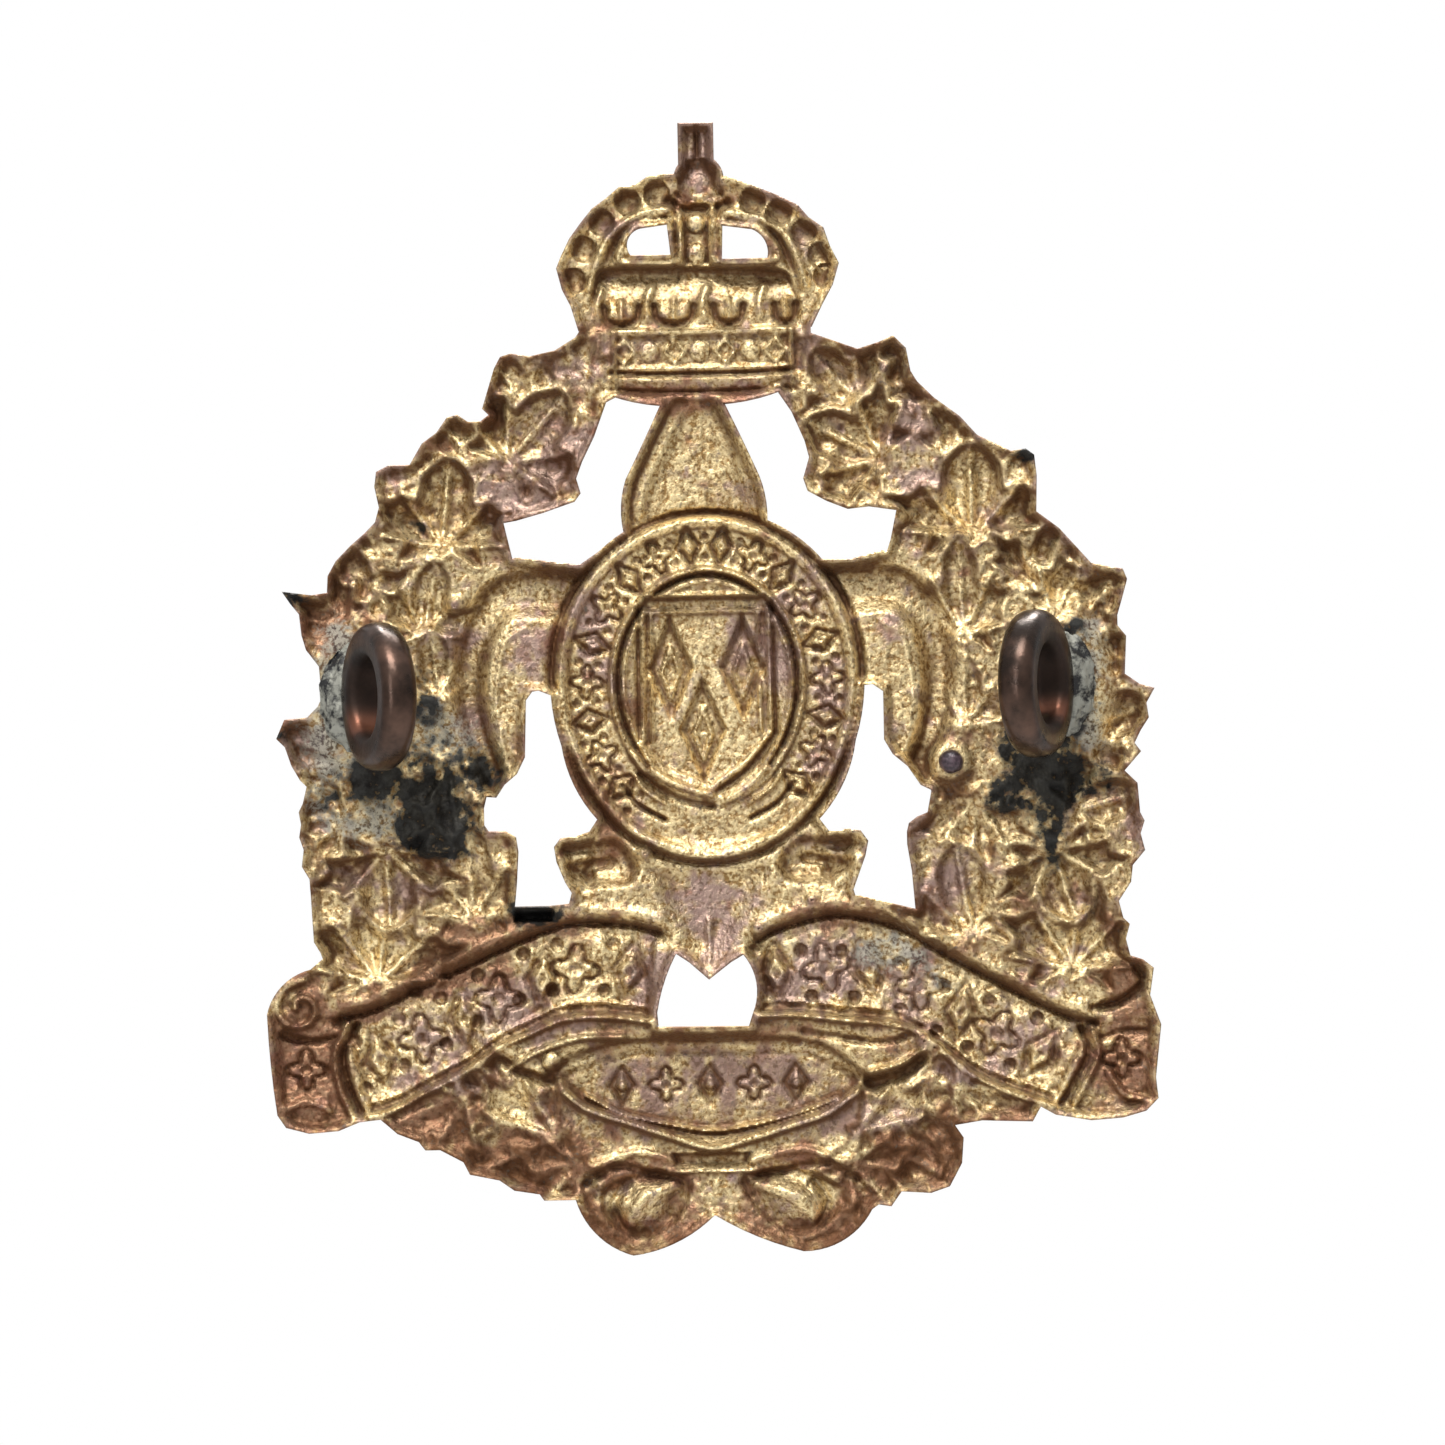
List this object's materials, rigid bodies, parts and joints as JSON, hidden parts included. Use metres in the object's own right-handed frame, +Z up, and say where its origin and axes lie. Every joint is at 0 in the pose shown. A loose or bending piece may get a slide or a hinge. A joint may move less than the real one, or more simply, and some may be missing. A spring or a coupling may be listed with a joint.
{
  "type": "cap badge",
  "caption": "Pierced die-struck cap badge: crown over a leaf wreath, fleur-de-lis, oval belt and shield, ribbon scrolls and bow, with wire loops brazed to the back for a retaining pin.",
  "frame": {"origin": "middle of the retaining-pin line: on the centre line, at the height and distance of both loop eyes, 3.5 mm behind the flat back rim of the sheet", "axes": "+X runs along the pin line to the right seen from the front, +Z up the badge toward the crown, the decorated front faces -Y and the loops stand toward +Y"},
  "size_m": [0.0425, 0.0089, 0.0538],
  "materials": {
    "gilding_metal": "struck gilding metal, bright on the high edges and brown in the hollows",
    "dark_copper": "smooth copper wire gone chocolate brown",
    "braze_flux": "rough scorched brazing with pale flux",
    "solder_bead": "dark smooth bead"
  },
  "bodies": {
    "root": {"crown_finial": "gilding_metal", "crown_arches": "gilding_metal", "crown_cap": "gilding_metal", "crown_band": "gilding_metal", "fleur_top_petal": "gilding_metal", "fleur_right_petal": "gilding_metal", "fleur_left_petal": "gilding_metal", "fleur_foot": "gilding_metal", "fleur_right_barb": "gilding_metal", "fleur_left_barb": "gilding_metal", "belt_ring": "gilding_metal", "shield_field": "gilding_metal", "right_scroll": "gilding_metal", "left_scroll": "gilding_metal", "tablet": "gilding_metal", "tie_ribbon": "gilding_metal", "bow_knot": "gilding_metal", "bow_right": "gilding_metal", "bow_left": "gilding_metal", "right_upper_leaves": "gilding_metal", "right_middle_leaves": "gilding_metal", "right_lower_leaves": "gilding_metal", "left_upper_leaves": "gilding_metal", "left_middle_leaves": "gilding_metal", "left_lower_leaves": "gilding_metal", "right_under_leaves": "gilding_metal", "left_under_leaves": "gilding_metal", "left_loop": "dark_copper", "right_loop": "dark_copper", "left_braze": "braze_flux", "right_braze": "braze_flux", "solder_spill": "solder_bead"}
  },
  "joints": []
}
